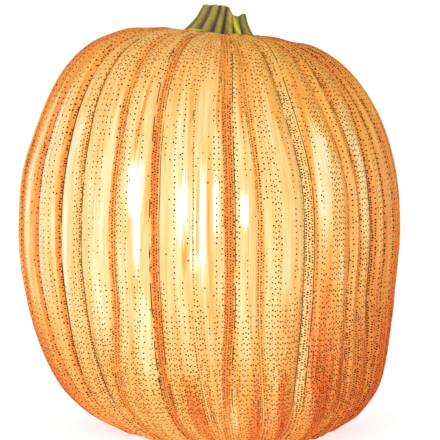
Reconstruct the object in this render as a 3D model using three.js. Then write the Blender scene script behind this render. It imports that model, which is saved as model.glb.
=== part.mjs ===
// A ripe field pumpkin, standing on its lower end, with the dry stub of its stem.
// Millimetres, +Z up. The floor is z = 0 and the middle of the widest ring is over the origin.
// The front faces -Y. Azimuths are in degrees, 0 at the front and growing towards +X.

import * as THREE from 'three';

// Driving dimensions of the fruit
const WIDEST_RADIUS = 152.5;
const DEPTH_RATIO = 0.975;
const SEAT_RADIUS = 30;
const SEAT_HEIGHT = 310.3;
const FOOT_LEAN = 16;
const FOOT_LEAN_HEIGHT = 140;
const STEM_LEAN = 6.4;
const STEM_LEAN_START = 200;
const STEM_LEAN_REACH = 110;
const TOP_TILT = 4.6;
const TILT_START = 225;
const TILT_FULL = 300;

// Half of the fruit's outline, as [radius, height] from the scar at its foot to the stem's seat.
// It dips below the floor between the dimple and the heel: there the fruit has settled flat.
const OUTLINE = [
  [0, 4.5], [8, 5], [12, 7.5], [20, 4.5], [31, -5.5], [77, -6.5],
  [96.5, 2], [113.5, 13.5], [129.6, 34.5], [141, 68], [148.5, 110], [WIDEST_RADIUS, 155],
  [149.3, 202], [136.6, 245], [120, 277], [100, 298.5], [76.5, 311],
  [56, 314], [42, 313.3], [SEAT_RADIUS, SEAT_HEIGHT], [0, SEAT_HEIGHT],
];

// Furrows between the ribs on the front, as [azimuth, depth, bend at the top, bend at the foot].
// A furrow is straight round the middle and turns by its bends, in degrees, towards its ends.
const FRONT_FURROWS = [
  [-98, 3.6, 0, 0], [-88, 2.4, -2, -1], [-77, 3.6, -3, -2], [-63.2, 5, -4, 1], [-50.1, 5, -4, -3],
  [-40.2, 2.6, -4, -1], [-28.8, 4, -2, -7], [-15.9, 5, -2, -2], [-5, 2, -1.5, 0], [5.6, 5, -1, -4],
  [14.4, 2.6, -3, 0], [28.7, 5, -5, -3], [45, 2.6, -6, 1], [49.8, 2.8, -5, 2], [56.6, 4.8, 1, 6],
  [64.6, 3.4, -2, 2], [73, 3.8, -3, 3], [81.5, 2.8, -1, 2], [89.5, 2.4, 0, 1], [98.5, 4, 0, 0],
];
const TOP_BEND_HEIGHTS = [190, 300];
const FOOT_BEND_HEIGHTS = [20, 120];

// Furrows on the back are drawn at random within these limits
const BACK_SEED = 11;
const BACK_SPACING = [8, 12];
const BACK_DEPTH = [2.2, 5];
const BACK_BEND = [-3, 3];

// A furrow is a wide shallow valley with a narrow crease along its middle.
// Its width shrinks towards the ends of the fruit, though less than the ribs do.
const VALLEY_SHARE = 0.75;
const VALLEY_HALF_WIDTH = 11;
const CREASE_SHARE = 0.45;
const CREASE_HALF_WIDTH = 3.4;
const END_WIDTH_SHARE = 0.4;
const FURROW_FADE_RADIUS = 62;
const RIB_SWELL = 1.4;

// Fineness of the fruit's skin
const COLUMNS_PER_RIB = [0, 0.2, 0.5, 0.8];
const ROWS_PER_SPAN = 2;

// Driving dimensions of the stem
const STEM_GAP = 0.3;
const STEM_FOOT_RADIUS = 26.2;
const STEM_WAIST_RADIUS = 18.5;
const STEM_TIP_RADIUS = 16.5;
const STEM_WAIST_HEIGHT = 15;
const STEM_HEIGHT = 21;
const STEM_SIDE_LEAN = 2.1;
const BROKEN_HEIGHT = 14;
const BROKEN_START = 4;
const BROKEN_END = 11.2;
const BROKEN_SLANT = 0.05;
const LIP_RISE = 2;
const LIP_START = 14.2;
const LIP_END = 17.2;
const GROOVES = [-40, -12, 8, 30, 48, 80, 112, 146, 180, 214, 248, 284];
const GROOVE_DEPTH = 0.15;
const TOE_DEPTH = 0.13;
const TOE_SWELL = 0.4;
const FLARE_POWER = 1.2;
const RIDGE_POWER = 0.7;
const CUT_SLOPE = 0.04;
const CUT_MIDDLE = -1;
const RIM_PASSES = 12;
const COLUMNS_PER_RIDGE = [0, 0.18, 0.5, 0.82];
const SIDE_ROWS = 11;
const CUT_ROWS = 5;

// Materials
const rindColour = new THREE.MeshStandardMaterial({ color: 0xeda24f, roughness: 0.42, metalness: 0 });
const stemColour = new THREE.MeshStandardMaterial({ color: 0x8c8436, roughness: 0.8, metalness: 0 });

const outline = new THREE.SplineCurve(OUTLINE.map(([r, z]) => new THREE.Vector2(r, z)));

function mix(a, b, share) {
  return a + (b - a) * share;
}

// A repeatable stream of numbers from 0 to 1
function randomStream(seed) {
  let state = seed;
  return () => {
    state = (state * 16807) % 2147483647;
    return state / 2147483647;
  };
}

// The front furrows, followed by drawn ones that go round the back to meet the first
function allFurrows() {
  const random = randomStream(BACK_SEED);
  const list = [...FRONT_FURROWS];
  const end = FRONT_FURROWS[0][0] + 360 - BACK_SPACING[0];
  let azimuth = FRONT_FURROWS[FRONT_FURROWS.length - 1][0] + mix(...BACK_SPACING, random());
  while (azimuth <= end) {
    const depth = mix(...BACK_DEPTH, random());
    list.push([azimuth, depth, mix(...BACK_BEND, random()), mix(...BACK_BEND, random())]);
    azimuth += mix(...BACK_SPACING, random());
  }
  return list.map(([middle, depth, top, foot]) => ({ middle, depth, top, foot }));
}

const furrows = allFurrows();

// Each rib's crest stands a little higher or lower than its neighbours'
function ribSwells() {
  const random = randomStream(BACK_SEED + 1);
  return furrows.map(() => mix(-RIB_SWELL, RIB_SWELL, random()));
}

const swells = ribSwells();

// Where a furrow runs at one height
function furrowAzimuth(furrow, height) {
  const top = THREE.MathUtils.smoothstep(height, ...TOP_BEND_HEIGHTS);
  const foot = 1 - THREE.MathUtils.smoothstep(height, ...FOOT_BEND_HEIGHTS);
  return furrow.middle + furrow.top * top + furrow.foot * foot;
}

// How far the skin lies below the plain outline at one azimuth of a spot on it
function furrowDepth(azimuth, spot) {
  const arcRadius = mix(spot.x, WIDEST_RADIUS, END_WIDTH_SHARE);
  let depth = 0;
  for (const furrow of furrows) {
    const away = azimuth - furrowAzimuth(furrow, spot.y);
    const turn = THREE.MathUtils.euclideanModulo(away + 180, 360) - 180;
    const arc = Math.abs(THREE.MathUtils.degToRad(turn)) * arcRadius;
    depth += furrow.depth * VALLEY_SHARE / (1 + (arc / VALLEY_HALF_WIDTH) ** 2);
    depth += furrow.depth * CREASE_SHARE / (1 + (arc / CREASE_HALF_WIDTH) ** 4);
  }
  return depth;
}

// One point of the fruit's skin, at a share of the outline's length and a place across a rib
function skinPoint(share, rib, across) {
  const spot = outline.getPoint(share);
  const along = outline.getTangent(share);
  const beside = (rib + 1) % furrows.length;
  const next = furrowAzimuth(furrows[beside], spot.y) + (beside === 0 ? 360 : 0);
  const azimuth = mix(furrowAzimuth(furrows[rib], spot.y), next, across);
  const fade = THREE.MathUtils.smoothstep(spot.x, SEAT_RADIUS, FURROW_FADE_RADIUS);
  const swell = swells[rib] * Math.sin(Math.PI * across) ** 2;
  const depth = (furrowDepth(azimuth, spot) - swell) * fade;
  const radius = Math.max(spot.x - depth * along.y, 0);
  const height = spot.y + depth * along.x;
  const angle = THREE.MathUtils.degToRad(azimuth);
  const x = radius * Math.sin(angle);
  const y = -radius * Math.cos(angle) * DEPTH_RATIO;
  const tilt = THREE.MathUtils.smoothstep(height, TILT_START, TILT_FULL);
  const z = Math.max(height - Math.tan(THREE.MathUtils.degToRad(TOP_TILT)) * x * tilt, 0);
  return new THREE.Vector3(x + lean(height), y, z);
}

// The axis leans to the right both at the foot and at the stem
function lean(height) {
  const foot = Math.max(1 - Math.max(height, 0) / FOOT_LEAN_HEIGHT, 0);
  const top = Math.max((height - STEM_LEAN_START) / STEM_LEAN_REACH, 0);
  return FOOT_LEAN * foot ** 2 + STEM_LEAN * top ** 2;
}

// A closed skin over rings of points, with one point at each end
function closedSkin(firstPoint, rings, lastPoint) {
  const columns = rings[0].length;
  const points = [firstPoint, ...rings.flat(), lastPoint];
  const last = points.length - 1;
  const faces = [];
  for (let column = 0; column < columns; column += 1) {
    const beside = (column + 1) % columns;
    faces.push(0, 1 + beside, 1 + column);
    for (let ring = 0; ring + 1 < rings.length; ring += 1) {
      const low = 1 + ring * columns;
      const high = low + columns;
      faces.push(low + column, low + beside, high + beside);
      faces.push(low + column, high + beside, high + column);
    }
    const top = last - columns;
    faces.push(top + column, top + beside, last);
  }
  const geometry = new THREE.BufferGeometry().setFromPoints(points);
  geometry.setIndex(faces);
  geometry.computeVertexNormals();
  return geometry;
}

function fruitGeometry() {
  const spans = (OUTLINE.length - 1) * ROWS_PER_SPAN;
  const rings = [];
  for (let row = 1; row < spans; row += 1) {
    const ring = [];
    for (let rib = 0; rib < furrows.length; rib += 1) {
      for (const across of COLUMNS_PER_RIB) ring.push(skinPoint(row / spans, rib, across));
    }
    rings.push(ring);
  }
  return closedSkin(skinPoint(0, 0, 0), rings, skinPoint(1, 0, 0));
}

// The stem's radius before its ridges: a wide foot, a waist and a slightly narrower tip
function stemRadius(height) {
  const rise = Math.min(height / STEM_WAIST_HEIGHT, 1);
  const above = Math.max(height - STEM_WAIST_HEIGHT, 0) / (STEM_HEIGHT - STEM_WAIST_HEIGHT);
  const flare = mix(STEM_FOOT_RADIUS, STEM_WAIST_RADIUS, 1 - (1 - rise) ** FLARE_POWER);
  return flare - (STEM_WAIST_RADIUS - STEM_TIP_RADIUS) * above;
}

// One point of the stem's side, with the ridges spreading into toes at the foot
function stemSide(azimuth, ridge, height) {
  const foot = Math.max(1 - height / STEM_WAIST_HEIGHT, 0);
  const hollow = GROOVE_DEPTH * (1 - ridge) + TOE_DEPTH * foot ** 2 * (TOE_SWELL - ridge);
  const radius = stemRadius(height) * (1 - hollow);
  const angle = THREE.MathUtils.degToRad(azimuth);
  const x = radius * Math.sin(angle) + STEM_SIDE_LEAN * height / STEM_WAIST_HEIGHT;
  return new THREE.Vector3(x, -radius * Math.cos(angle), height);
}

// Where the stem was cut: level on the left, broken down to a lower lip on the right
function cutHeight(x, y) {
  const broken = THREE.MathUtils.smoothstep(x + BROKEN_SLANT * y, BROKEN_START, BROKEN_END);
  const lip = LIP_RISE * THREE.MathUtils.smoothstep(x, LIP_START, LIP_END);
  return mix(STEM_HEIGHT, BROKEN_HEIGHT + lip, broken) - CUT_SLOPE * y;
}

// The point of the rim above one point of the foot, found by stepping up to the cut
function stemRim(azimuth, ridge) {
  let rim = stemSide(azimuth, ridge, BROKEN_HEIGHT);
  for (let pass = 0; pass < RIM_PASSES; pass += 1) {
    rim = stemSide(azimuth, ridge, mix(rim.z, cutHeight(rim.x, rim.y), 0.5));
  }
  return rim;
}

function stemGeometry() {
  const sides = Array.from({ length: SIDE_ROWS }, () => []);
  const cuts = Array.from({ length: CUT_ROWS - 1 }, () => []);
  for (let index = 0; index < GROOVES.length; index += 1) {
    const next = index + 1 < GROOVES.length ? GROOVES[index + 1] : GROOVES[0] + 360;
    for (const across of COLUMNS_PER_RIDGE) {
      const azimuth = mix(GROOVES[index], next, across);
      const ridge = Math.sin(Math.PI * across) ** RIDGE_POWER;
      const rim = stemRim(azimuth, ridge);
      sides.forEach((ring, row) => {
        ring.push(stemSide(azimuth, ridge, rim.z * row / (SIDE_ROWS - 1)));
      });
      cuts.forEach((ring, row) => {
        const inward = (row + 1) / CUT_ROWS;
        const x = mix(rim.x, CUT_MIDDLE, inward);
        const y = mix(rim.y, 0, inward);
        ring.push(new THREE.Vector3(x, y, cutHeight(x, y)));
      });
    }
  }
  const middle = new THREE.Vector3(CUT_MIDDLE, 0, cutHeight(CUT_MIDDLE, 0));
  return closedSkin(new THREE.Vector3(0, 0, 0), [...sides, ...cuts], middle);
}

const fruit = new THREE.Mesh(fruitGeometry(), rindColour);
fruit.name = 'fruit';

const stem = new THREE.Mesh(stemGeometry(), stemColour);
stem.name = 'stem';
stem.position.set(lean(SEAT_HEIGHT), 0, SEAT_HEIGHT + STEM_GAP);
stem.rotation.y = THREE.MathUtils.degToRad(TOP_TILT);

const pumpkin = new THREE.Group();
pumpkin.add(fruit, stem);

export default pumpkin;
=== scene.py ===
"""A ripe ribbed field pumpkin on a white floor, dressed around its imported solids.

Metres, +Z up. The front faces -Y. Azimuths are in degrees, 0 at the front and growing towards +X.
"""

import math
import random
from typing import NamedTuple

import bpy
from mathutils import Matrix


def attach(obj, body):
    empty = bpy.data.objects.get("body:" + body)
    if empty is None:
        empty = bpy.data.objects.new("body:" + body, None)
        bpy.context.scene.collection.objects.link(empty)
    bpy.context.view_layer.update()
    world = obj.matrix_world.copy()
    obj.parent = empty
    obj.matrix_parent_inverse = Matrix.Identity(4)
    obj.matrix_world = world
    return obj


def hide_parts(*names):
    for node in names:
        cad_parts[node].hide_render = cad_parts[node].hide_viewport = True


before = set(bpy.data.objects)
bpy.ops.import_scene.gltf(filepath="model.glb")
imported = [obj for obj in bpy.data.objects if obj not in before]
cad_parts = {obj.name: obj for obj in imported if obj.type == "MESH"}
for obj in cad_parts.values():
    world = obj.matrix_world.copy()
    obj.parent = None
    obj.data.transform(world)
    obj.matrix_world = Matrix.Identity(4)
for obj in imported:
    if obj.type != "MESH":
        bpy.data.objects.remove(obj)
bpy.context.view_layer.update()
scene = bpy.context.scene

# Camera
# The pumpkin is seen from just above its middle, from far enough away to look almost flat.
AIM = (0.0076, 0.0008, 0.1644)
CAMERA_DISTANCE = 1.92
CAMERA_ELEVATION = math.radians(5)
LENS_MM = 200
SENSOR_WIDTH_MM = 36
VIEW_END = 20

camera = bpy.data.objects.new("camera", bpy.data.cameras.new("camera"))
scene.collection.objects.link(camera)
camera.data.lens = LENS_MM
camera.data.sensor_width = SENSOR_WIDTH_MM
camera.data.clip_end = VIEW_END
camera.location = (
    AIM[0],
    AIM[1] - CAMERA_DISTANCE * math.cos(CAMERA_ELEVATION),
    AIM[2] + CAMERA_DISTANCE * math.sin(CAMERA_ELEVATION),
)
camera.rotation_euler = (math.pi / 2 - CAMERA_ELEVATION, 0, 0)
scene.camera = camera

# Rind
# The whole fruit grew as one piece: hard waxy skin over flesh, drawn in along meridians where the
# veins run from the stem to the lower end. It ripens pale on the ribs and orange in the furrows,
# is finely cracked along them, is dotted with dark pores, and has settled flat where it rests.
# Its skin also carries painted light: painted highlights on the front ribs, painted shade towards
# the sides, the foot and the top, dark lines of painted shade along the creases and the bands'
# edges, and pores crowded closer where shade falls.
WIDEST_RADIUS = 0.1525
DEPTH_RATIO = 0.975
SEAT_RADIUS = 0.030
SEAT_HEIGHT = 0.3103
FOOT_LEAN = 0.016
FOOT_LEAN_HEIGHT = 0.140
STEM_LEAN = 0.0064
STEM_LEAN_START = 0.200
STEM_LEAN_REACH = 0.110
TOP_TILT = math.radians(4.6)
TILT_START = 0.225
TILT_FULL = 0.300

# Half of the fruit's outline, as (radius, height) from the scar at its foot to the stem's seat.
OUTLINE = [
    (0, 0.0045), (0.008, 0.005), (0.012, 0.0075), (0.020, 0.0045), (0.031, -0.0055),
    (0.077, -0.0065), (0.0965, 0.002), (0.1135, 0.0135), (0.1296, 0.0345), (0.141, 0.068),
    (0.1485, 0.110), (WIDEST_RADIUS, 0.155), (0.1493, 0.202), (0.1366, 0.245), (0.120, 0.277),
    (0.100, 0.2985), (0.0765, 0.311), (0.056, 0.314), (0.042, 0.3133),
    (SEAT_RADIUS, SEAT_HEIGHT), (0, SEAT_HEIGHT),
]
OUTLINE_STEPS = 24

# Metres and radians, times these, are millimetres and degrees.
MILLIMETRES = 1000
DEGREES = math.degrees(1)


class Furrow(NamedTuple):
    """A furrow, the bands of colour before and after its crease, and its dark lines.

    Angles are in degrees, and the depth and the widths of the bands in millimetres. The dark lines are
    painted shade: they run along the far edge of each band, and along the crease over a real hairline
    crack, more broken where their number is smaller.
    """

    azimuth: float
    depth: float
    top_bend: float
    foot_bend: float
    band_before: float
    band_after: float
    band_tone: float
    shade_line_before: float
    middle_crack_and_shade: float
    shade_line_after: float


FRONT_FURROWS = [
    Furrow(-98, 3.6, 0, 0, 4, 4, 0.80, 0, 0.8, 0),
    Furrow(-88, 2.4, -2, -1, 3, 4, 0.82, 0, 0.3, 0),
    Furrow(-77, 3.6, -3, -2, 8, 8, 0.86, 0, 0.0, 0),
    Furrow(-63.2, 5, -4, 1, 6.2, 0, 0.80, 0, 0.9, 0),
    Furrow(-50.1, 5, -4, -3, 5.2, 0, 0.78, 0, 0.95, 0),
    Furrow(-40.2, 2.6, -4, -1, 4.5, 1, 0.56, 0, 1.0, 0),
    Furrow(-28.8, 4, -2, -7, 3.8, 2.8, 0.74, 0, 0.1, 0.6),
    Furrow(-15.9, 5, -2, -2, 3.7, 3.6, 0.82, 0.75, 0.0, 0.9),
    Furrow(-5, 2, -1.5, 0, 0, 2.2, 0.50, 0, 0.5, 0),
    Furrow(5.6, 5, -1, -4, 4.0, 4.5, 0.81, 0.6, 0.0, 0.85),
    Furrow(14.4, 2.6, -3, 0, 3, 3, 0.64, 0, 0.4, 0),
    Furrow(28.7, 5, -5, -3, 0, 6.8, 0.46, 0, 0.95, 0.95),
    Furrow(45, 2.6, -6, 1, 3, 1, 0.64, 0, 0.7, 0),
    Furrow(49.8, 2.8, -5, 2, 4, 2, 0.76, 0, 0.6, 0),
    Furrow(56.6, 4.8, 1, 6, 1, 6, 0.76, 0, 1.2, 0),
    Furrow(64.6, 3.4, -2, 2, 2, 4, 0.78, 0, 1.0, 0),
    Furrow(73, 3.8, -3, 3, 3, 6, 0.84, 0, 1.0, 0),
    Furrow(81.5, 2.8, -1, 2, 4, 8, 0.90, 0, 0.9, 0),
    Furrow(89.5, 2.4, 0, 1, 5, 5, 0.92, 0, 0.7, 0),
    Furrow(98.5, 4, 0, 0, 4, 4, 0.90, 0, 0.8, 0),
]
TOP_BEND_HEIGHTS = (0.190, 0.300)
FOOT_BEND_HEIGHTS = (0.020, 0.120)

# Furrows on the back are drawn at random within these limits.
BACK_SEED = 11
BACK_SPACING = (8, 12)
BACK_DEPTH = (2.2, 5)
BACK_BEND = (-3, 3)
BACK_BAND = (1.5, 6)
BACK_BAND_TONE = (0.70, 0.88)
BACK_EDGE_SHADE = 0.7

# A furrow is a wide shallow valley, a crease along its middle and a hairline crack in the crease.
VALLEY_SHARE = 0.75
VALLEY_HALF_WIDTH = 0.011
CREASE_SHARE = 0.45
CREASE_HALF_WIDTH = 0.0034
CRACK_DEPTH = 0.0005
CRACK_HALF_WIDTH = 0.0009
END_WIDTH_SHARE = 0.4
FURROW_FADE_RADIUS = 0.062

# Ribs swell unevenly, and their skin has broad lumps and a fine ripple along the meridians.
RIB_SWELL = 0.0014
LUMP_HEIGHT = 0.0011
LUMP_SCALE = 38
RIPPLES_ROUND = 16
RIPPLES_ALONG = 4
COLUMNS_PER_RIB = 13
CREASE_CROWDING = 0.72
ROWS = 196
WELD_DISTANCE = 0.00002


def mix(a, b, share):
    return a + (b - a) * share


def random_stream(seed):
    """A repeatable stream of numbers from 0 to 1."""
    state = seed
    while True:
        state = state * 16807 % 2147483647
        yield state / 2147483647


def all_furrows():
    """The front furrows, followed by drawn ones that go round the back to meet the first."""
    stream = random_stream(BACK_SEED)
    colour_stream = random_stream(BACK_SEED + 2)
    furrows = list(FRONT_FURROWS)
    end = furrows[0].azimuth + 360 - BACK_SPACING[0]
    azimuth = furrows[-1].azimuth + mix(*BACK_SPACING, next(stream))
    while azimuth <= end:
        depth = mix(*BACK_DEPTH, next(stream))
        bends = [mix(*BACK_BEND, next(stream)) for _ in range(2)]
        bands = [mix(*BACK_BAND, next(colour_stream)) for _ in range(2)]
        tone = mix(*BACK_BAND_TONE, next(colour_stream))
        shade_line_before = BACK_EDGE_SHADE * next(colour_stream) ** 3
        middle_crack_and_shade = next(colour_stream)
        shade_line_after = BACK_EDGE_SHADE * next(colour_stream) ** 3
        crack_shade_marks = (shade_line_before, middle_crack_and_shade, shade_line_after)
        furrows.append(Furrow(azimuth, depth, *bends, *bands, tone, *crack_shade_marks))
        azimuth += mix(*BACK_SPACING, next(stream))
    return furrows


def furrow_mesh(furrows):
    """A mesh with one point for each furrow, which carries what the furrow is like."""
    mesh = bpy.data.meshes.new("furrows")
    mesh.from_pydata([(place, 0, 0) for place in range(len(furrows))], [], [])
    swells = random_stream(BACK_SEED + 1)
    numbers = {
        "azimuth": [math.radians(furrow.azimuth) for furrow in furrows],
        "depth": [furrow.depth / MILLIMETRES for furrow in furrows],
        "top_bend": [math.radians(furrow.top_bend) for furrow in furrows],
        "foot_bend": [math.radians(furrow.foot_bend) for furrow in furrows],
        "swell": [mix(-RIB_SWELL, RIB_SWELL, next(swells)) for _ in furrows],
    }
    triples = {
        "band": [(furrow.band_before, furrow.band_after, furrow.band_tone) for furrow in furrows],
        # The crack row gives the strength of the dark lines of painted shade along the bands' far edges
        # and the crease; the crease's also sets the depth of its hairline crack.
        "crack": [(furrow.shade_line_before, furrow.middle_crack_and_shade, furrow.shade_line_after) for furrow in furrows],
    }
    for name, values in numbers.items():
        mesh.attributes.new(name, "FLOAT", "POINT").data.foreach_set("value", values)
    for name, rows in triples.items():
        values = [value for row in rows for value in row]
        mesh.attributes.new(name, "FLOAT_VECTOR", "POINT").data.foreach_set("vector", values)
    return mesh


def outline_object():
    """The outline as a chain of edges that the node tree reads."""
    mesh = bpy.data.meshes.new("outline")
    edges = [(place, place + 1) for place in range(len(OUTLINE) - 1)]
    mesh.from_pydata([(radius, 0, height) for radius, height in OUTLINE], edges, [])
    made = bpy.data.objects.new("outline", mesh)
    scene.collection.objects.link(made)
    return made


class Wire:
    """One socket of a node tree, so that maths on it reads as plain Python."""

    def __init__(self, tree, socket=None):
        self.tree = tree
        self.socket = socket

    def node(self, kind, inputs=(), out=0, stops=(), **settings):
        """Adds a node: its settings first, then the values or links of its sockets."""
        made = self.tree.nodes.new(kind)
        for name, value in settings.items():
            setattr(made, name, value)
        if stops:
            for _ in stops[2:]:
                made.color_ramp.elements.new(0.5)
            for element, (place, colour) in zip(made.color_ramp.elements, stops):
                element.position = place
                element.color = colour
        pairs = inputs.items() if isinstance(inputs, dict) else enumerate(inputs)
        for key, value in pairs:
            if isinstance(value, Wire):
                self.tree.links.new(value.socket, made.inputs[key])
            else:
                made.inputs[key].default_value = value
        return Wire(self.tree, made.outputs[out])

    def at(self, output):
        """Another output of the node that this socket is on."""
        return Wire(self.tree, self.socket.node.outputs[output])

    def math(self, operation, *values):
        return self.node("ShaderNodeMath", values, operation=operation)

    def __add__(self, other):
        return self.math("ADD", self, other)

    __radd__ = __add__

    def __sub__(self, other):
        return self.math("SUBTRACT", self, other)

    def __rsub__(self, other):
        return self.math("SUBTRACT", other, self)

    def __mul__(self, other):
        return self.math("MULTIPLY", self, other)

    __rmul__ = __mul__

    def __truediv__(self, other):
        return self.math("DIVIDE", self, other)

    def __rtruediv__(self, other):
        return self.math("DIVIDE", other, self)

    def __pow__(self, other):
        return self.math("POWER", self, other)

    def __mod__(self, other):
        return self.math("FLOORED_MODULO", self, other)

    def __abs__(self):
        return self.math("ABSOLUTE", self)

    def floor(self):
        return self.math("FLOOR", self)

    def least(self, other):
        return self.math("MINIMUM", self, other)

    def most(self, other):
        return self.math("MAXIMUM", self, other)

    def step(self, low, high):
        """Rises smoothly from 0 at low to 1 at high, or falls where low is the larger."""
        limits = (self, low, high, 0, 1)
        return self.node("ShaderNodeMapRange", limits, interpolation_type="SMOOTHSTEP")

    def xyz(self):
        parts = self.node("ShaderNodeSeparateXYZ", [self])
        return parts, parts.at(1), parts.at(2)

    def vector(self, x, y, z):
        return self.node("ShaderNodeCombineXYZ", (x, y, z))

    def blend(self, colour, share):
        """Another colour laid over this one, by a share from 0 to 1."""
        return self.node("ShaderNodeMix", {0: share, 6: self, 7: colour}, 2, data_type="RGBA")


RIND_SOCKETS = {
    "Furrows": "NodeSocketGeometry", "Outline": "NodeSocketObject", "Count": "NodeSocketInt",
    "Columns": "NodeSocketInt", "Rows": "NodeSocketInt", "Widest Radius": "NodeSocketFloat",
    "Depth Ratio": "NodeSocketFloat", "Top Tilt": "NodeSocketFloat", "Foot Lean": "NodeSocketFloat",
    "Stem Lean": "NodeSocketFloat", "Lump Height": "NodeSocketFloat", "Skin": "NodeSocketMaterial",
}


class RindGrowth:
    """Node tree that sweeps the outline round the furrows' places and sinks the furrows into it."""

    def __init__(self):
        self.tree = bpy.data.node_groups.new("pumpkin rind", "GeometryNodeTree")
        interface = self.tree.interface
        interface.new_socket(name="Geometry", in_out="OUTPUT", socket_type="NodeSocketGeometry")
        for name, kind in RIND_SOCKETS.items():
            interface.new_socket(name=name, in_out="INPUT", socket_type=kind)
        self.given = Wire(self.tree).node("NodeGroupInput")
        self.count = self.given.at("Count")
        sheet = self.flat_sheet()
        self.follow_outline()
        sheet = self.mark_ribs(sheet)
        sheet = self.mark_places(sheet)
        sheet = self.sink_furrows(sheet)
        sheet = self.stand_up(sheet)
        end = self.tree.nodes.new("NodeGroupOutput")
        self.tree.links.new(sheet.socket, end.inputs["Geometry"])

    def of_furrow(self, name, index, kind="FLOAT"):
        """What a furrow is like. The first follows again after the last."""
        value = self.given.node("GeometryNodeInputNamedAttribute", [name], data_type=kind)
        sample = {"Geometry": self.given.at("Furrows"), "Value": value, "Index": index % self.count}
        return self.given.node("GeometryNodeSampleIndex", sample, data_type=kind)

    def azimuth_of(self, index, height):
        """A furrow's azimuth at this height, in radians, which goes on growing past a whole turn."""
        top = height.step(*TOP_BEND_HEIGHTS) * self.of_furrow("top_bend", index)
        foot = (1 - height.step(*FOOT_BEND_HEIGHTS)) * self.of_furrow("foot_bend", index)
        turns = (index / self.count).floor() * math.tau
        return self.of_furrow("azimuth", index) + turns + top + foot

    def store(self, geometry, name, value, kind="FLOAT", domain="POINT"):
        inputs = {"Geometry": geometry, "Name": name, "Value": value}
        return self.given.node("GeometryNodeStoreNamedAttribute", inputs, data_type=kind, domain=domain)

    def stored(self, name):
        return self.given.node("GeometryNodeInputNamedAttribute", [name], data_type="FLOAT")

    def flat_sheet(self):
        """A flat sheet, as wide as the ribs are many, with its columns crowded at the furrows."""
        columns, rows = self.given.at("Columns"), self.given.at("Rows")
        size = {"Size X": 1, "Size Y": 1, "Vertices X": columns, "Vertices Y": rows}
        sheet = self.given.node("GeometryNodeMeshGrid", size)
        flat_x, flat_y, _ = self.given.node("GeometryNodeInputPosition").xyz()
        round_place = (flat_x + 0.5) * self.count
        self.rib = round_place.floor()
        even = round_place - self.rib
        crowding = self.given.math("SINE", even * math.tau) * (CREASE_CROWDING / math.tau)
        self.across = even - crowding
        self.up = flat_y + 0.5
        return sheet

    def follow_outline(self):
        """The outline's point and direction for each row, and the azimuth of each point."""
        given = self.given
        outline = given.node("GeometryNodeObjectInfo", {"Object": given.at("Outline")}, "Geometry")
        curve = given.node("GeometryNodeMeshToCurve", [outline])
        smooth = given.node("GeometryNodeCurveSplineType", [curve], spline_type="CATMULL_ROM")
        steps = {"Geometry": smooth, "Resolution": OUTLINE_STEPS}
        fine = given.node("GeometryNodeSetSplineResolution", steps)
        self.along = self.up * given.node("GeometryNodeCurveLength", [fine])
        place = {"Curves": fine, "Factor": self.up}
        spot = given.node("GeometryNodeSampleCurve", place, "Position", mode="FACTOR")
        self.radius, _, self.height = spot.xyz()
        self.slope_x, _, self.slope_z = spot.at("Tangent").xyz()
        self.left_azimuth = self.azimuth_of(self.rib, self.height)
        self.right_azimuth = self.azimuth_of(self.rib + 1, self.height)
        self.azimuth = mix(self.left_azimuth, self.right_azimuth, self.across)
        self.east = given.math("SINE", self.azimuth)
        self.south = given.math("COSINE", self.azimuth)
        round_angle = (self.rib + self.across) / self.count * math.tau
        self.rib_x = given.math("COSINE", round_angle)
        self.rib_y = given.math("SINE", round_angle)

    def mark_ribs(self, sheet):
        """What each rib shows beside its own two furrows, the same all over a face."""
        sheet = self.store(sheet, "rib", self.rib, domain="FACE")
        sheet = self.store(sheet, "rib_turn", self.right_azimuth - self.left_azimuth, domain="FACE")
        for side, index in (("left", self.rib), ("right", self.rib + 1)):
            for name in ("band", "crack"):
                value = self.of_furrow(name, index, "FLOAT_VECTOR")
                sheet = self.store(sheet, f"{side}_{name}", value, "FLOAT_VECTOR", "FACE")
        return sheet

    def mark_places(self, sheet):
        """Places round and along the skin, for its finish and for the furrows."""
        rib_place = self.given.vector(self.rib_x, self.rib_y, self.along)
        sheet = self.store(sheet, "rib_place", rib_place, "FLOAT_VECTOR")
        meridian = self.given.vector(self.east, self.south, self.radius)
        sheet = self.store(sheet, "meridian", meridian, "FLOAT_VECTOR")
        sheet = self.store(sheet, "azimuth", self.azimuth)
        sheet = self.store(sheet, "ring", self.radius)
        sheet = self.store(sheet, "rise", self.height)
        return self.store(sheet, "depth", 0)

    def sink_furrows(self, sheet):
        """Every furrow in turn adds to the depth by which the skin near it is sunk."""
        opening = self.tree.nodes.new("GeometryNodeRepeatInput")
        closing = self.tree.nodes.new("GeometryNodeRepeatOutput")
        opening.pair_with_output(closing)
        self.tree.links.new(self.count.socket, opening.inputs["Iterations"])
        self.tree.links.new(sheet.socket, opening.inputs["Geometry"])
        turn = Wire(self.tree, opening.outputs["Iteration"])
        away = self.stored("azimuth") - self.azimuth_of(turn, self.stored("rise"))
        away = abs(self.given.math("WRAP", away, math.pi, -math.pi))
        arc = away * mix(self.stored("ring"), self.given.at("Widest Radius"), END_WIDTH_SHARE)
        depth = self.of_furrow("depth", turn)
        valley = depth * VALLEY_SHARE / ((arc / VALLEY_HALF_WIDTH) ** 2 + 1)
        crease = depth * CREASE_SHARE / ((arc / CREASE_HALF_WIDTH) ** 4 + 1)
        _, middle_crack_and_shade, _ = self.of_furrow("crack", turn, "FLOAT_VECTOR").xyz()
        crack = middle_crack_and_shade * CRACK_DEPTH / ((arc / CRACK_HALF_WIDTH) ** 4 + 1)
        deeper = self.stored("depth") + valley + crease + crack
        sunk = self.store(Wire(self.tree, opening.outputs["Geometry"]), "depth", deeper)
        self.tree.links.new(sunk.socket, closing.inputs["Geometry"])
        return Wire(self.tree, closing.outputs["Geometry"])

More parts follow.
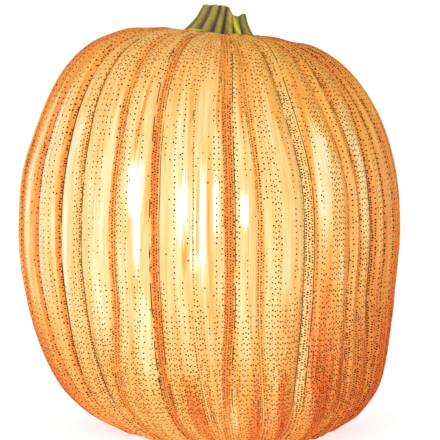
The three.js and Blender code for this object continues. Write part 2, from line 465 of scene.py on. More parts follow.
    def skin_relief(self):
        """The swell of each rib, broad lumps and a fine ripple along the meridians."""
        given = self.given
        swell = self.of_furrow("swell", self.rib) * given.math("SINE", self.across * math.pi) ** 2
        place = given.vector(self.east * self.radius, self.south * self.radius, self.height)
        noise = {"Vector": place, "Scale": LUMP_SCALE, "Detail": 2}
        lumps = given.node("ShaderNodeTexNoise", noise) - 0.5
        round_x, round_y = self.rib_x * RIPPLES_ROUND, self.rib_y * RIPPLES_ROUND
        place = given.vector(round_x, round_y, self.along * RIPPLES_ALONG)
        ripples = given.node("ShaderNodeTexNoise", {"Vector": place, "Scale": 1, "Detail": 1}) - 0.5
        return swell + (lumps + ripples) * given.at("Lump Height")

    def stand_up(self, sheet):
        """Puts the sheet upright, its top tilted, its axis leaning and its foot settled flat."""
        given = self.given
        fade = self.radius.step(SEAT_RADIUS, FURROW_FADE_RADIUS)
        sink = (self.stored("depth") - self.skin_relief()) * fade
        ring = (self.radius - sink * self.slope_z).most(0)
        level = self.height + sink * self.slope_x
        foot_drop = (1 - level.most(0) / FOOT_LEAN_HEIGHT).most(0)
        stem_rise = ((level - STEM_LEAN_START) / STEM_LEAN_REACH).most(0)
        lean = foot_drop ** 2 * given.at("Foot Lean") + stem_rise ** 2 * given.at("Stem Lean")
        side = ring * self.east
        front = ring * self.south * given.at("Depth Ratio") * -1
        tilt = side * given.math("TANGENT", given.at("Top Tilt")) * level.step(TILT_START, TILT_FULL)
        standing = given.vector(side + lean, front, (level - tilt).most(0))
        sheet = given.node("GeometryNodeSetPosition", {"Geometry": sheet, "Position": standing})
        weld = {"Geometry": sheet, "Distance": WELD_DISTANCE}
        sheet = given.node("GeometryNodeMergeByDistance", weld)
        sheet = given.node("GeometryNodeRealizeInstances", [sheet])
        sheet = given.node("GeometryNodeSetShadeSmooth", [sheet])
        finish = {"Geometry": sheet, "Material": given.at("Skin")}
        return given.node("GeometryNodeSetMaterial", finish)


def srgb(text):
    """A colour written as six hexadecimal digits, as linear light, opaque."""
    parts = [int(text[place:place + 2], 16) / 255 for place in (0, 2, 4)]
    linear = [part / 12.92 if part <= 0.04045 else ((part + 0.055) / 1.055) ** 2.4 for part in parts]
    return (*linear, 1)


# Tones of the skin, from the palest rib to the deepest furrow.
SKIN_TONES = [
    (0.00, srgb("FFFFFA")), (0.14, srgb("FCF0CE")), (0.30, srgb("F9DEA2")), (0.45, srgb("F7CB82")),
    (0.60, srgb("F3B160")), (0.75, srgb("EE984C")), (0.88, srgb("E77F3F")), (1.00, srgb("D96531")),
]
PORE_COLOUR = srgb("2C1303")
WARM_PORE_COLOUR = srgb("4A1804")
PEACH_COLOUR = srgb("F2AC8A")
GOLD_COLOUR = srgb("F2A83A")
CRACK_SHADE_COLOUR = srgb("3C2412")
SCAR_COLOUR = srgb("A78A5E")

# In the skin's finish, lengths are in millimetres. Places beyond the sides are folded towards
# the front's, so that the two sides meet at the back.
SIDE_AZIMUTHS = (35, 80)
FOLD_AZIMUTHS = (179, 105)

# Streaks that growing draws out along the meridians, as how many there are to a radian, their
# length, how finely they break up, and a seed.
BROAD_STREAKS = (26, 70, 2, 3.1)
MIDDLE_STREAKS = (70, 45, 2, 7.7)
THIN_STREAKS = (190, 30, 1, 1.9)
WOBBLE = (9, 12, 1, 5.3)
BLUSH_PATCHES = (34, 90, 1, 21)
BLUSH_STREAKS = (120, 40, 1, 27)
CRACK_GAPS = (5, 16, 2)

# How much the streaks change the tone, on the ribs and in the bands.
BROAD_TONE = 0.42
MIDDLE_TONE = 0.46
THIN_TONE = 0.26
BAND_MIDDLE_TONE = 0.22
BAND_THIN_TONE = 0.16

# Painted shade over the pale front: washes that deepen the tone towards the sides, most on the
# left edge and the right, towards the foot and towards the top, with a touch lighter at the top on
# the right. Each is given as the folded azimuths and the heights between which it grows from
# nothing to full, with None for all of them, and what it adds.
LIT_FRONT_TONE = 0.39
SHADE_WASHES = [
    ((3, 14), None, 0.06),
    ((20, 40), None, 0.08),
    ((38, 72), None, 0.06),
    ((38, 72), (205, 130), 0.16),
    ((-55, -75), None, 0.17),
    ((-55, -75), (200, 120), 0.07),
    (None, (140, 20), 0.27),
    ((-10, 60), (140, 20), 0.06),
    (None, (225, 310), 0.18),
    ((0, 40), (225, 310), -0.03),
]
# The painted shade goes on deepening round the back.
BACK_SHADE_AZIMUTHS = (85, 130)
BACK_SHADE_TONE = 0.10
CREASE_REACH = 7
CREASE_TONE = 0.07

# Pores crowd together by washes of the same kind, and by what else is there. Crowding them towards
# the foot, the top, the right, round the sides and near the creases paints shade with them, and
# they thin out under the painted highlights. They stand in lanes along the meridians, which are
# wider apart round the sides.
FRONT_CROWD = 0.25
SHADE_CROWD_WASHES = [
    (None, (150, 50), 0.50),
    (None, (255, 303), 0.40),
    ((12, 60), None, 0.28),
]
SHADE_CROWDED_AZIMUTHS = (60, 90)
SIDE_SHADE_CROWD = 0.10
BROAD_CROWD = 0.6
HIGHLIGHT_CROWD = 0.4
CREASE_SHADE_CROWD = 0.2
CREASE_SHADE_CROWD_REACH = (6, 1)
BAND_CROWD = 1.2
BAND_SIDE_THINNING = 0.4
PORE_SPACING = 2.1
SIDE_SPACING = 1.7
PORE_PITCH = 2.1
PORE_RADIUS = 0.60
PORE_STRAYING = 0.4
PORE_SIDE_WIDTH = 0.4
LANE_WOBBLE = 0.5
EVEN_LANE_RADIUS = 125

# A lane is open or closed by chance, more often open where it is crowded. An open one has nearly
# all of its pores, and a closed one a stray pore here and there.
LANE_OPENNESS = 1.3
OPEN_CHANCE = 0.93
STRAY_CHANCE = 0.12
EVERY_ROW_CROWD = (0.6, 1.1)

# A band's edge strays with the streaks and fades over a share of its width and a little more. The
# whole band fades towards the ends of its furrow.
BAND_BROAD_STRAYING = 0.9
BAND_MIDDLE_STRAYING = 2.4
BAND_WOBBLE = 1.5
BAND_FADE_SHARE = 0.35
BAND_FADE = 0.7
BAND_FADE_START = -0.4
BAND_TOP = (298, 235)
BAND_TOP_SHARE = 0.5
BAND_FOOT = (15, 45)
BAND_FOOT_SHARE = 0.3

# Dark lines of painted shade along the creases and the bands' far edges wander and break up with
# the streaks, look wider round the sides and stop above the foot. The crease line lies over a real
# hairline crack.
CRACK_SHADE_LENGTH = 0.62
CRACK_SHADE_BREAKS = 0.42
CRACK_SHADE_WOBBLE = 0.5
CRACK_SHADE_THIN_STRAYING = 0.3
CRACK_SHADE_SIDE_WIDTH = 0.9
CRACK_SHADE_FOOT = (26, 42)
CREASE_CRACK_SHADE_HALF_WIDTH = 0.40
EDGE_SHADE_HALF_WIDTH = 0.36
CRACK_SHADE_SOFTNESS = 0.13
CREASE_CRACK_SHADE_SEED = 0
EDGE_SHADE_SEEDS = (11, 17)

# The peach blush fades at the top, where the middle tones turn golden, most of all on the right.
BLUSH_HEIGHTS = (290, 240)
BLUSH_STRENGTH = 0.4
GOLD_HEIGHTS = (185, 250)
GOLD_FROM_TONES = (0.3, 0.6)
GOLD_TO_TONES = (0.85, 0.7)
GOLD_STRENGTH = 0.16
GOLD_RIGHT_AZIMUTHS = (-10, 30)
GOLD_RIGHT_STRENGTH = 0.20
WARM_PORE_AZIMUTHS = (20, 55)
SCAR_EDGE = (11, 8)
SCAR_HEIGHTS = (100, 60)

# Strokes of paler or deeper colour that run along the ribs, as azimuth and half width in degrees,
# height and half length in millimetres, and the change of tone in the middle of the stroke. The
# palest ones, on the front ribs, are painted highlights; the other pale and deeper ones are streaks
# of colour.
HIGHLIGHT_AND_TONE_STROKES = [
    (-70, 2.2, 176, 84, -0.22),
    (-60, 1.8, 178, 80, -0.24),
    (-47.2, 2.0, 165, 90, -0.21),
    (-22.0, 2.4, 200, 19, -0.36),
    (-21.7, 1.5, 196, 17, -0.20),
    (-20.9, 1.1, 170, 30, -0.42),
    (-18.3, 1.0, 195, 62, 0.09),
    (-7.6, 1.9, 184, 26, -0.34),
    (-6.6, 0.9, 188, 18, -0.16),
    (-4.6, 0.8, 172, 36, -0.38),
    (-4.2, 1.4, 147, 9, -0.36),
    (-3.3, 0.6, 190, 44, 0.10),
    (-1.9, 1.0, 180, 44, -0.40),
    (-7.1, 0.8, 158, 20, 0.24),
    (-0.1, 0.9, 165, 80, 0.14),
    (1.9, 0.9, 186, 22, -0.36),
    (9.8, 1.3, 184, 13, -0.46),
    (35.0, 3.0, 205, 42, -0.24),
    (31.2, 1.3, 175, 120, 0.22),
    (-33.5, 2.0, 130, 60, -0.12),
    (21, 3.0, 170, 60, -0.08),
    (-23, 0.7, 252, 30, 0.34),
    (2.0, 0.6, 274, 34, 0.26),
    (10.5, 2.2, 282, 32, 0.16),
    (35.5, 4.5, 80, 60, 0.18),
    (43.5, 1.4, 120, 110, 0.16),
    (48.8, 1.5, 200, 48, -0.26),
    (52.5, 2.0, 195, 44, -0.22),
    (77, 4.0, 130, 120, 0.14),
    (58, 3.5, 112, 30, 0.12),
    (9.5, 2.0, 84, 52, -0.15),
    (-52, 7.0, 100, 50, 0.06),
    (-9, 2.6, 30, 32, 0.20),
    (10.5, 2.4, 30, 40, 0.18),
    (21.5, 2.4, 28, 36, 0.20),
    (2.5, 2.4, 34, 36, -0.22),
    (16.5, 2.2, 50, 44, -0.14),
    (-20.5, 3.0, 88, 36, -0.18),
]
STROKE_EDGE = 1.6


class Beside(NamedTuple):
    """The furrow on one side of a rib: how far off it is, and what it shows on this side."""

    distance: Wire
    band_width: Wire
    band_tone: Wire
    crease_crack_and_shade: Wire
    edge_shade_line: Wire


class SkinPlace:
    """Sockets that say where a shaded point is: on the fruit, on its rib and among the streaks.

    Azimuths are in degrees. Only rib_turn, the angle from one furrow to the next, is in radians.
    """

    def __init__(self, tree, rib_count):
        self.wire = Wire(tree)
        self.rib_x, self.rib_y, along = self.attribute("rib_place").xyz()
        east, south, radius = self.attribute("meridian").xyz()
        self.rib = self.attribute("rib", "Fac")
        self.rib_turn = self.attribute("rib_turn", "Fac")
        left_band = self.attribute("left_band").xyz()
        right_band = self.attribute("right_band").xyz()
        # The crack attributes carry the strength of the dark lines of painted shade, and of the
        # hairline crack under the crease line.
        left_crack = self.attribute("left_crack").xyz()
        right_crack = self.attribute("right_crack").xyz()
        _, _, height = self.wire.node("ShaderNodeTexCoord", out="Object").xyz()
        self.height = height * MILLIMETRES
        self.along = along * MILLIMETRES
        self.radius = radius * MILLIMETRES
        self.azimuth = self.wire.math("ARCTAN2", east, south) * DEGREES

        turned = self.wire.math("ARCTAN2", self.rib_y, self.rib_x) * (rib_count / math.tau)
        self.across = (turned - self.rib + 0.5) % rib_count - 0.5
        self.rib_width = self.rib_turn * self.radius
        from_left = self.across * self.rib_width
        from_right = self.rib_width - from_left
        self.nearest = from_left.least(from_right)
        self.left = Beside(from_left, left_band[1], left_band[2], left_crack[1], left_crack[2])
        self.right = Beside(from_right, right_band[0], right_band[2], right_crack[1], right_crack[0])
        rib_azimuth = self.azimuth - self.across * self.rib_turn * DEGREES
        self.side = abs(rib_azimuth).step(*SIDE_AZIMUTHS)

        self.broad = self.streaks(*BROAD_STREAKS)
        self.middle = self.streaks(*MIDDLE_STREAKS)
        self.thin = self.streaks(*THIN_STREAKS)
        self.wobble = self.streaks(*WOBBLE)
        self.facing = abs(self.azimuth)
        self.folded = self.azimuth * self.facing.step(*FOLD_AZIMUTHS)

    def attribute(self, name, out="Vector"):
        return self.wire.node("ShaderNodeAttribute", out=out, attribute_name=name)

    def streaks(self, number, length, detail, seed):
        """Noise about 0 that is drawn out along the meridians."""
        place = self.wire.vector(self.rib_x * number, self.rib_y * number, self.along / length + seed)
        noise = {"Vector": place, "Scale": 1, "Detail": detail}
        return self.wire.node("ShaderNodeTexNoise", noise) - 0.5

    def washes(self, rows):
        """What the rows add together, each growing with the azimuth, the height or both."""
        total = 0
        for azimuths, heights, change in rows:
            wash = change
            if azimuths:
                wash = self.folded.step(*azimuths) * wash
            if heights:
                wash = self.height.step(*heights) * wash
            total = total + wash
        return total


def highlight_and_tone_strokes(here):
    """The change of tone that all strokes make together, painted highlights among them, and that of the
    palest one.
    """
    ragged_side = here.middle * 0.8
    ragged_end = here.thin * 1.2 + here.middle * 0.6
    strokes = 0
    pale = 0
    for azimuth, half_width, height, half_length, change in HIGHLIGHT_AND_TONE_STROKES:
        sideways = (here.azimuth - azimuth) / half_width + ragged_side
        lengthways = (here.height - height) / half_length + ragged_end
        stroke = (sideways ** 2 + lengthways ** 4).step(STROKE_EDGE, 0) * change
        strokes = strokes + stroke
        pale = stroke.least(pale)
    return strokes, pale


def band_cover(here, furrow):
    """How far a furrow's band covers the skin: fully at the crease, and fading away from it."""
    ragged = here.middle * BAND_MIDDLE_STRAYING + here.wobble * BAND_WOBBLE
    edge = furrow.band_width * (1 + here.broad * BAND_BROAD_STRAYING) + ragged
    fade = furrow.band_width * BAND_FADE_SHARE + BAND_FADE
    inside = (edge - furrow.distance).step(fade * BAND_FADE_START, fade)
    top = mix(BAND_TOP_SHARE, 1, here.height.step(*BAND_TOP))
    foot = mix(BAND_FOOT_SHARE, 1, here.height.step(*BAND_FOOT))
    return inside.least(furrow.band_width.step(0, 1)) * top * foot


def crack_shade_line(here, distance, strength, half_width, seed):
    """A dark line of painted shade at this distance from a crease, broken along its length."""
    gaps = here.streaks(*CRACK_GAPS, seed) + strength * CRACK_SHADE_LENGTH - CRACK_SHADE_BREAKS
    off = abs(distance + here.wobble * CRACK_SHADE_WOBBLE) - here.thin * CRACK_SHADE_THIN_STRAYING
    off = off / (1 + here.side * CRACK_SHADE_SIDE_WIDTH)
    line = off.step(half_width + CRACK_SHADE_SOFTNESS, half_width - CRACK_SHADE_SOFTNESS)
    return line * gaps.step(0, 0.10) * here.height.step(*CRACK_SHADE_FOOT)


def crack_and_shade_lines(here):
    """Dark lines of painted shade along the creases, over their hairline crack, and along the far edges
    of the bands.
    """
    crack_shade_marks = []
    for furrow, edge_seed in zip((here.left, here.right), EDGE_SHADE_SEEDS):
        crease = (furrow.distance, furrow.crease_crack_and_shade, CREASE_CRACK_SHADE_HALF_WIDTH, CREASE_CRACK_SHADE_SEED)
        crack_shade_marks.append(crack_shade_line(here, *crease))
        off_edge = furrow.distance - furrow.band_width
        edge = (off_edge, furrow.edge_shade_line, EDGE_SHADE_HALF_WIDTH, edge_seed)
        crack_shade_marks.append(crack_shade_line(here, *edge))
    left_crease, left_edge, right_crease, right_edge = crack_shade_marks
    return left_crease.most(right_crease).most(left_edge.most(right_edge))


def pore_crowd_with_shade(here, pale, banded):
    """How close together the pores are: few on a pale rib, and all that there can be in a band. They
    also crowd closer where shade falls, which paints shade, and thin out under painted highlights.
    """
    crowd = FRONT_CROWD + here.washes(SHADE_CROWD_WASHES)
    crowd = crowd + here.facing.step(*SHADE_CROWDED_AZIMUTHS) * SIDE_SHADE_CROWD
    crowd = crowd + here.broad * BROAD_CROWD + pale * HIGHLIGHT_CROWD
    crowd = crowd + here.nearest.step(*CREASE_SHADE_CROWD_REACH) * CREASE_SHADE_CROWD
    return crowd.most(banded * (BAND_CROWD - here.side * BAND_SIDE_THINNING))


def pore_dots(here, crowd):
    """Pores in rows, called lanes here, that run along the meridians."""
    wire = here.wire
    even_lanes = wire.math("GREATER_THAN", here.radius, EVEN_LANE_RADIUS)
    lane_radius = mix(here.radius, WIDEST_RADIUS * MILLIMETRES, even_lanes)
    spacing = PORE_SPACING + here.side * SIDE_SPACING
    lanes = wire.math("ROUND", here.rib_turn * lane_radius / spacing).most(1)
    lane_place = here.across * lanes + here.wobble * LANE_WOBBLE
    lane = lane_place.floor()
    lane_draw = wire.node("ShaderNodeTexWhiteNoise", {"Vector": wire.vector(lane, here.rib, 4)})
    row_place = here.along / PORE_PITCH + lane % 2 * 0.5
    row = row_place.floor()
    cell = wire.vector(lane + here.rib * 31, row, 8)
    draw_x, draw_y, draw_there = wire.node("ShaderNodeTexWhiteNoise", {"Vector": cell}, "Color").xyz()

    off_lane = lane_place - lane - 0.5 - (draw_x - 0.5) * PORE_STRAYING
    off_row = row_place - row - 0.5 - (draw_y - 0.5) * PORE_STRAYING
    off_x = off_lane * here.rib_width / lanes / (1 + here.side * PORE_SIDE_WIDTH)
    off_y = off_row * PORE_PITCH
    lane_open = (crowd * LANE_OPENNESS - lane_draw).step(-0.05, 0.05)
    every_row = (row % 2).most(crowd.step(*EVERY_ROW_CROWD))
    chance = mix(crowd * STRAY_CHANCE, OPEN_CHANCE, lane_open) * every_row
    there = wire.math("LESS_THAN", draw_there, chance)
    distance = wire.math("SQRT", off_x ** 2 + off_y ** 2) / (0.8 + draw_x * 0.4)
    dots = distance.step(PORE_RADIUS + 0.1, PORE_RADIUS - 0.12)
    return dots * there * here.nearest.step(0.45, 0.8)


def skin_material(rib_count):
    """Watery streaks from cream to orange, bands in the furrows and rows of pores, with painted light:
    painted highlights on the front ribs, painted shade deepening towards the sides, the foot and the
    top, and dark lines of painted shade along the creases, over a fine crack, and along the bands' far
    edges.
    """
    material = bpy.data.materials.new("pumpkin skin")
    material.use_nodes = True
    tree = material.node_tree
    shader = tree.nodes["Principled BSDF"]
    here = SkinPlace(tree, rib_count)

    # Painted shade: the tone deepens from the pale front towards the sides, the foot, the top and the
    # back.
    tone = LIT_FRONT_TONE + here.washes(SHADE_WASHES) + here.facing.step(*BACK_SHADE_AZIMUTHS) * BACK_SHADE_TONE
    tone = tone + here.broad * BROAD_TONE + here.middle * MIDDLE_TONE + here.thin * THIN_TONE
    tone = tone + here.nearest.step(CREASE_REACH, 0) * CREASE_TONE
    # The palest strokes on the front ribs are painted highlights.
    strokes, pale = highlight_and_tone_strokes(here)
    tone = tone + strokes
    left_cover = band_cover(here, here.left)
    right_cover = band_cover(here, here.right)
    band_streak = here.middle * BAND_MIDDLE_TONE + here.thin * BAND_THIN_TONE
    tone = mix(tone, here.left.band_tone + band_streak, left_cover)
    tone = mix(tone, here.right.band_tone + band_streak, right_cover)
    banded = left_cover.most(right_cover)
    colour = here.wire.node("ShaderNodeValToRGB", [tone], "Color", stops=SKIN_TONES)

    blush = here.streaks(*BLUSH_PATCHES).step(0.06, 0.2) * here.streaks(*BLUSH_STREAKS).step(-0.1, 0.2)
    colour = colour.blend(PEACH_COLOUR, blush * here.height.step(*BLUSH_HEIGHTS) * BLUSH_STRENGTH)
    golden = here.height.step(*GOLD_HEIGHTS) * tone.step(*GOLD_FROM_TONES) * tone.step(*GOLD_TO_TONES)
    gold = GOLD_STRENGTH + here.folded.step(*GOLD_RIGHT_AZIMUTHS) * GOLD_RIGHT_STRENGTH
    colour = colour.blend(GOLD_COLOUR, golden * gold)

    # Dark lines of painted shade along the creases and the bands' far edges.
    crack_shade_marks = crack_and_shade_lines(here)
    dots = pore_dots(here, pore_crowd_with_shade(here, pale, banded))
    colour = colour.blend(PORE_COLOUR, dots * 0.96)
    colour = colour.blend(WARM_PORE_COLOUR, dots * here.folded.step(*WARM_PORE_AZIMUTHS))
    colour = colour.blend(CRACK_SHADE_COLOUR, crack_shade_marks * 0.9)

    # The corky scar in the middle of the foot
    scar = (here.radius + here.wobble * 4).step(*SCAR_EDGE) * here.height.step(*SCAR_HEIGHTS)
    colour = colour.blend(SCAR_COLOUR, scar)
    tree.links.new(colour.socket, shader.inputs["Base Color"])

    roughness = 0.36 + banded * 0.10 + dots * 0.2 + scar * 0.4 + here.broad * 0.12
    tree.links.new(roughness.socket, shader.inputs["Roughness"])
    coat = tone.step(0.55, 0.2) * (1 - dots) * 0.35
    tree.links.new(coat.socket, shader.inputs["Coat Weight"])
    shader.inputs["Coat Roughness"].default_value = 0.3
    shader.inputs["Specular IOR Level"].default_value = 0
    relief = here.middle * 0.5 + here.thin * 0.35 - crack_shade_marks * 0.8
    raised = {"Strength": 0.35, "Distance": 0.0006, "Height": relief}
    bump = here.wire.node("ShaderNodeBump", raised, "Normal")
    tree.links.new(bump.socket, shader.inputs["Normal"])
    return material


furrows = all_furrows()
rind = bpy.data.objects.new("rind_grown", furrow_mesh(furrows))
scene.collection.objects.link(rind)
growth = rind.modifiers.new("growth", "NODES")
growth.node_group = RindGrowth().tree
outline = outline_object()
rind_values = {
    "Outline": outline, "Count": len(furrows), "Columns": len(furrows) * COLUMNS_PER_RIB + 1,
    "Rows": ROWS, "Widest Radius": WIDEST_RADIUS, "Depth Ratio": DEPTH_RATIO, "Top Tilt": TOP_TILT,
    "Foot Lean": FOOT_LEAN, "Stem Lean": STEM_LEAN, "Lump Height": LUMP_HEIGHT,
    "Skin": skin_material(len(furrows)),
}
for item in growth.node_group.interface.items_tree:
    if item.in_out == "INPUT" and item.name in rind_values:
        growth[item.identifier] = rind_values[item.name]
bpy.context.view_layer.update()
depsgraph = bpy.context.evaluated_depsgraph_get()
grown = rind.evaluated_get(depsgraph)
rind_mesh = bpy.data.meshes.new_from_object(grown, preserve_all_data_layers=True, depsgraph=depsgraph)
bpy.data.objects.remove(rind)
bpy.data.objects.remove(outline)
rind = bpy.data.objects.new("rind", rind_mesh)
scene.collection.objects.link(rind)
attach(rind, "root")
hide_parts("fruit")

# Stem
# The stub of the vine that the fruit hung from: dry ridged wood, spread into toes where it joins
# the rind. It was cut level on the left, and broke down to a lower lip on the right.
STEM_FOOT_RADIUS = 0.0262
STEM_WAIST_RADIUS = 0.0185
STEM_TIP_RADIUS = 0.0165
STEM_WAIST_HEIGHT = 0.015
STEM_HEIGHT = 0.021
STEM_SIDE_LEAN = 0.0021
STEM_CLEARANCE = 0.0003
STEM_SUNK = 0.0004
BROKEN_HEIGHT = 0.014
BROKEN_EDGES = (0.004, 0.0112)
BROKEN_SLANT = 0.05
LIP_RISE = 0.002
LIP_EDGES = (0.0142, 0.0172)
GROOVES = [-40, -12, 8, 30, 48, 80, 112, 146, 180, 214, 248, 284]
GROOVE_DEPTH = 0.15
TOE_DEPTH = 0.13
TOE_SWELL = 0.4
CUT_SLOPE = 0.04
CUT_MIDDLE = -0.001
CUT_DISH = 0.0012
CUT_MIDDLE_DIP = 0.0008
FIBRE_HEIGHT = 0.00032
FIBRE_END_HEIGHT = 0.00045
TEAR_HEIGHTS = (-0.0007, 0.0009)
COLUMNS_PER_RIDGE = 14
SIDE_ROWS = 44
CUT_ROWS = 14
STEM_SEED = 5


def smooth_step(value, low, high):
    share = min(max((value - low) / (high - low), 0), 1)
    return share * share * (3 - 2 * share)


def stem_side(azimuth, ridge, height, fibre):
    """A point of the stem's side, with the ridges spreading into toes at the foot."""
    rise = min(height / STEM_WAIST_HEIGHT, 1)
    above = max(height - STEM_WAIST_HEIGHT, 0) / (STEM_HEIGHT - STEM_WAIST_HEIGHT)
    flare = mix(STEM_FOOT_RADIUS, STEM_WAIST_RADIUS, 1 - (1 - rise) ** 1.2)
    plain = flare - (STEM_WAIST_RADIUS - STEM_TIP_RADIUS) * above
    foot = max(1 - height / STEM_WAIST_HEIGHT, 0)
    hollow = GROOVE_DEPTH * (1 - ridge) + TOE_DEPTH * foot ** 2 * (TOE_SWELL - ridge)
    radius = plain * (1 - hollow) + fibre
    angle = math.radians(azimuth)
    lean = STEM_SIDE_LEAN * height / STEM_WAIST_HEIGHT
    return radius * math.sin(angle) + lean, -radius * math.cos(angle)


def cut_height(x, y):
    """Where the stem ends: level on the left, broken down to a lip on the right."""
    broken = smooth_step(x + BROKEN_SLANT * y, *BROKEN_EDGES)
    lip = LIP_RISE * smooth_step(x, *LIP_EDGES)
    return mix(STEM_HEIGHT, BROKEN_HEIGHT + lip, broken) - CUT_SLOPE * y


def rim_height(azimuth, ridge, fibre):
    """Where the side meets the cut, found by halving the way to it again and again."""
    height = BROKEN_HEIGHT
    for _ in range(12):
        height = mix(height, cut_height(*stem_side(azimuth, ridge, height, fibre)), 0.5)
    return height


def stem_columns():
    """Each column's azimuth, and how high it is on its ridge, from 0 in a groove to 1."""
    columns = []
    for groove, after in zip(GROOVES, GROOVES[1:] + [GROOVES[0] + 360]):
        for part in range(COLUMNS_PER_RIDGE):
            across = part / COLUMNS_PER_RIDGE
            columns.append((mix(groove, after, across), math.sin(math.pi * across) ** 0.7))
    return columns


def stem_points():
    """Rings of points up the side and in across the torn end, then the foot's and the end's middle.

    Each is x, y, height, how deep in a groove it is, and its climb: 0 to 1 up the side, 2 inside.
    """
    draw = random.Random(STEM_SEED)
    columns = stem_columns()
    fibres = [draw.uniform(-FIBRE_HEIGHT, FIBRE_HEIGHT) for _ in columns]
    torn = [draw.uniform(*TEAR_HEIGHTS) for _ in columns]
    torn = [(a + b) / 2 for a, b in zip(torn, torn[1:] + torn[:1])]
    rims = [rim_height(*column, fibre) + tear for column, fibre, tear in zip(columns, fibres, torn)]
    points = []
    for row in range(SIDE_ROWS):
        share = row / (SIDE_ROWS - 1)
        for (azimuth, ridge), fibre, rim in zip(columns, fibres, rims):
            height = mix(-STEM_SUNK, rim, share)
            bow = fibre * math.sin(math.pi * min(share * 1.4, 1) / 2)
            x, y = stem_side(azimuth, ridge, max(height, 0), bow)
            points.append((x, y, height, 1 - ridge, share))
    side_top = points[-len(columns):]
    for row in range(1, CUT_ROWS):
        inward = row / CUT_ROWS
        dip = -CUT_DISH * math.sin(math.pi * inward) * (1 - 0.4 * inward)
        for (x, y, *_), tear in zip(side_top, torn):
            inner_x = mix(x, CUT_MIDDLE, inward)
            inner_y = mix(y, 0, inward)
            fibre_end = draw.uniform(-FIBRE_END_HEIGHT, FIBRE_END_HEIGHT) + tear * (1 - inward) ** 2
            height = cut_height(inner_x, inner_y) + fibre_end + dip
            points.append((inner_x, inner_y, height, 0.4, 1 + inward))
    points.append((0, 0, -STEM_SUNK, 0.5, 0))
    points.append((CUT_MIDDLE, 0, cut_height(CUT_MIDDLE, 0) - CUT_MIDDLE_DIP, 0.5, 2))
    return points


def stem_faces(around, rows):
    """Squares between the rings, with a fan of triangles at the foot and at the end's middle."""
    foot_middle = rows * around
    end_middle = foot_middle + 1
    last = foot_middle - around
    faces = []
    for column in range(around):
        beside = (column + 1) % around
        faces.append((foot_middle, beside, column))
        for low in range(0, last, around):
            high = low + around
            faces.append((low + column, low + beside, high + beside, high + column))
        faces.append((last + column, last + beside, end_middle))
    return faces


def stem_mesh():
    """The stem, set down on its seat and tilted as the fruit's top is."""
    points = stem_points()
    cosine = math.cos(TOP_TILT)
    sine = math.sin(TOP_TILT)
    seat = SEAT_HEIGHT + STEM_CLEARANCE
    placed = [
        (x * cosine + z * sine + STEM_LEAN, y, z * cosine - x * sine + seat)
        for x, y, z, _, _ in points
    ]
    faces = stem_faces(len(GROOVES) * COLUMNS_PER_RIDGE, SIDE_ROWS + CUT_ROWS - 1)
    mesh = bpy.data.meshes.new("stem")
    mesh.from_pydata(placed, [], faces)
    mesh.shade_smooth()
    for name, place in (("groove", 3), ("climb", 4)):
        values = [point[place] for point in points]
        mesh.attributes.new(name, "FLOAT", "POINT").data.foreach_set("value", values)
    return mesh


# Tones of the wood, from the top of a ridge to the bottom of a groove, darkening into the grooves as
# painted shade.
WOOD_TONES = [
    (0.00, srgb("CBBE4C")), (0.25, srgb("A8953F")), (0.50, srgb("8A7738")), (0.75, srgb("665538")),
    (1.00, srgb("40302C")),
]
SHADE_COLOUR = srgb("6B5668")
SPECK_COLOUR = srgb("33281C")
HIGHLIGHT_STRIPE_COLOUR = srgb("E6DC2E")
TORN_COLOUR = srgb("A89A62")
TOE_LINE_COLOUR = srgb("DCD636")
FOOT_SHADE_COLOUR = srgb("2C2218")

# Azimuths between which the bright stripe, a painted highlight, and the bright line over the left toes
# come and go.
HIGHLIGHT_STRIPE_START = (34, 36)
HIGHLIGHT_STRIPE_END = (41, 39)
TOES_START = (-28, -38)
TOES_END = (-85, -70)


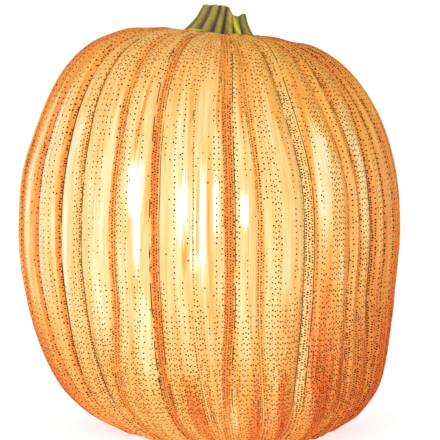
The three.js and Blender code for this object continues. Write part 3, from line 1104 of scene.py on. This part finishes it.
def stem_material():
    """Dry olive wood, with greener ridges and pale torn fibres at the end, and painted light: painted
    shade darkening the grooves and broad patches to purple-grey, and a painted highlight in a bright
    stripe.
    """
    material = bpy.data.materials.new("stem wood")
    material.use_nodes = True
    tree = material.node_tree
    shader = tree.nodes["Principled BSDF"]
    wood = Wire(tree)
    groove = wood.node("ShaderNodeAttribute", out="Fac", attribute_name="groove")
    climb = wood.node("ShaderNodeAttribute", out="Fac", attribute_name="climb")
    x, y, z = wood.node("ShaderNodeTexCoord", out="Object").xyz()
    angle = wood.math("ARCTAN2", x - STEM_LEAN, y * -1)
    azimuth = angle * DEGREES
    ring = wood.vector(wood.math("SINE", angle), wood.math("COSINE", angle), z * 12)
    fibres = wood.node("ShaderNodeTexNoise", {"Vector": ring, "Scale": 22, "Detail": 3})
    broad = wood.node("ShaderNodeTexNoise", {"Vector": ring, "Scale": 4, "Detail": 2})
    depth = groove * 0.8 + (fibres - 0.5) * 0.7 + (broad - 0.5) * 0.5 + 0.14
    colour = wood.node("ShaderNodeValToRGB", [depth], "Color", stops=WOOD_TONES)
    # Painted shade: purple-grey in the grooves and in broad patches.
    shaded = groove * 0.6 + broad * 1.1
    colour = colour.blend(SHADE_COLOUR, shaded.step(0.62, 1.05) * 0.65)
    specks = wood.node("ShaderNodeTexVoronoi", {"Scale": 480}, "Distance")
    colour = colour.blend(SPECK_COLOUR, specks.step(0.46, 0.36) * 0.75)
    # A painted highlight: a bright stripe up the stem's right front.
    stripe = azimuth.step(*HIGHLIGHT_STRIPE_START) * azimuth.step(*HIGHLIGHT_STRIPE_END) * climb.step(0.05, 0.2)
    colour = colour.blend(HIGHLIGHT_STRIPE_COLOUR, stripe * 0.85)
    torn_noise = wood.node("ShaderNodeTexNoise", {"Scale": 900, "Detail": 3})
    torn = colour.blend(TORN_COLOUR, torn_noise.step(0.4, 0.7) * 0.8)
    colour = colour.blend(torn, climb.step(1.0, 1.08))
    toe_line = climb.step(0.15, 0.09) * azimuth.step(*TOES_START) * azimuth.step(*TOES_END)
    colour = colour.blend(TOE_LINE_COLOUR, toe_line * 0.8)
    # Painted shade darkening the foot, where the stem meets the rind.
    colour = colour.blend(FOOT_SHADE_COLOUR, climb.step(0.08, 0.02) * 0.85)
    tree.links.new(colour.socket, shader.inputs["Base Color"])
    shader.inputs["Roughness"].default_value = 0.78
    shader.inputs["Specular IOR Level"].default_value = 0.3
    raised = {"Strength": 0.6, "Distance": 0.0006, "Height": fibres}
    bump = wood.node("ShaderNodeBump", raised, "Normal")
    tree.links.new(bump.socket, shader.inputs["Normal"])
    return material


stem = bpy.data.objects.new("stem_stub", stem_mesh())
scene.collection.objects.link(stem)
stem.data.materials.append(stem_material())
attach(stem, "root")
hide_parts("stem")

# Studio
# A white floor that curves up into a white wall behind, lit softly from above and from the left.
FLOOR_HALF_WIDTH = 9
FLOOR_FRONT = -8
FLOOR_LEVEL = -0.0003
WALL_BACK = 8
WALL_CURVE = 2
WALL_CURVE_STEPS = 12
WALL_HEIGHT = 7
PAPER_GREY = 0.5
PAPER_GLOW = 0.7
AIR_GLOW = 0.62


def studio_mesh():
    """A sheet that runs back along the floor, round a curve and up."""
    profile = [(FLOOR_FRONT, FLOOR_LEVEL), (WALL_BACK - WALL_CURVE, FLOOR_LEVEL)]
    for part in range(1, WALL_CURVE_STEPS + 1):
        angle = math.pi / 2 * part / WALL_CURVE_STEPS
        back = WALL_BACK - WALL_CURVE + WALL_CURVE * math.sin(angle)
        profile.append((back, FLOOR_LEVEL + WALL_CURVE - WALL_CURVE * math.cos(angle)))
    profile.append((WALL_BACK, WALL_HEIGHT))
    points = [(side, y, z) for y, z in profile for side in (-FLOOR_HALF_WIDTH, FLOOR_HALF_WIDTH)]
    faces = [(2 * row, 2 * row + 1, 2 * row + 3, 2 * row + 2) for row in range(len(profile) - 1)]
    mesh = bpy.data.meshes.new("studio")
    mesh.from_pydata(points, [], faces)
    mesh.shade_smooth()
    return mesh


paper = bpy.data.materials.new("white paper")
paper.use_nodes = True
paper_shader = paper.node_tree.nodes["Principled BSDF"]
paper_shader.inputs["Base Color"].default_value = (PAPER_GREY, PAPER_GREY, PAPER_GREY, 1)
paper_shader.inputs["Roughness"].default_value = 0.9
paper_shader.inputs["Emission Color"].default_value = (1, 1, 1, 1)
paper_shader.inputs["Emission Strength"].default_value = PAPER_GLOW
studio = bpy.data.objects.new("studio", studio_mesh())
scene.collection.objects.link(studio)
studio.data.materials.append(paper)

# Each light, as name, size, power in watts, place, and the point that it faces.
LIGHTS = [
    ("key", (0.7, 1.6), 18, (-0.75, -1.9, 1.15), (0, 0, 0.16)),
    ("fill", (2.0, 2.0), 7, (2.0, -1.8, 1.2), (0, 0, 0.16)),
]
for name, (size_x, size_y), power, place, target in LIGHTS:
    lamp = bpy.data.lights.new(name, "AREA")
    lamp.shape = "RECTANGLE"
    lamp.size = size_x
    lamp.size_y = size_y
    lamp.energy = power
    light = bpy.data.objects.new(name, lamp)
    scene.collection.objects.link(light)
    light.location = place
    away = [a - b for a, b in zip(place, target)]
    flat = math.hypot(away[0], away[1])
    light.rotation_euler = (math.atan2(flat, away[2]), 0, math.atan2(away[0], -away[1]))

world = bpy.data.worlds.new("studio air")
world.use_nodes = True
world.node_tree.nodes["Background"].inputs["Color"].default_value = (1, 1, 1, 1)
world.node_tree.nodes["Background"].inputs["Strength"].default_value = AIR_GLOW
scene.world = world
scene.view_settings.view_transform = "Standard"
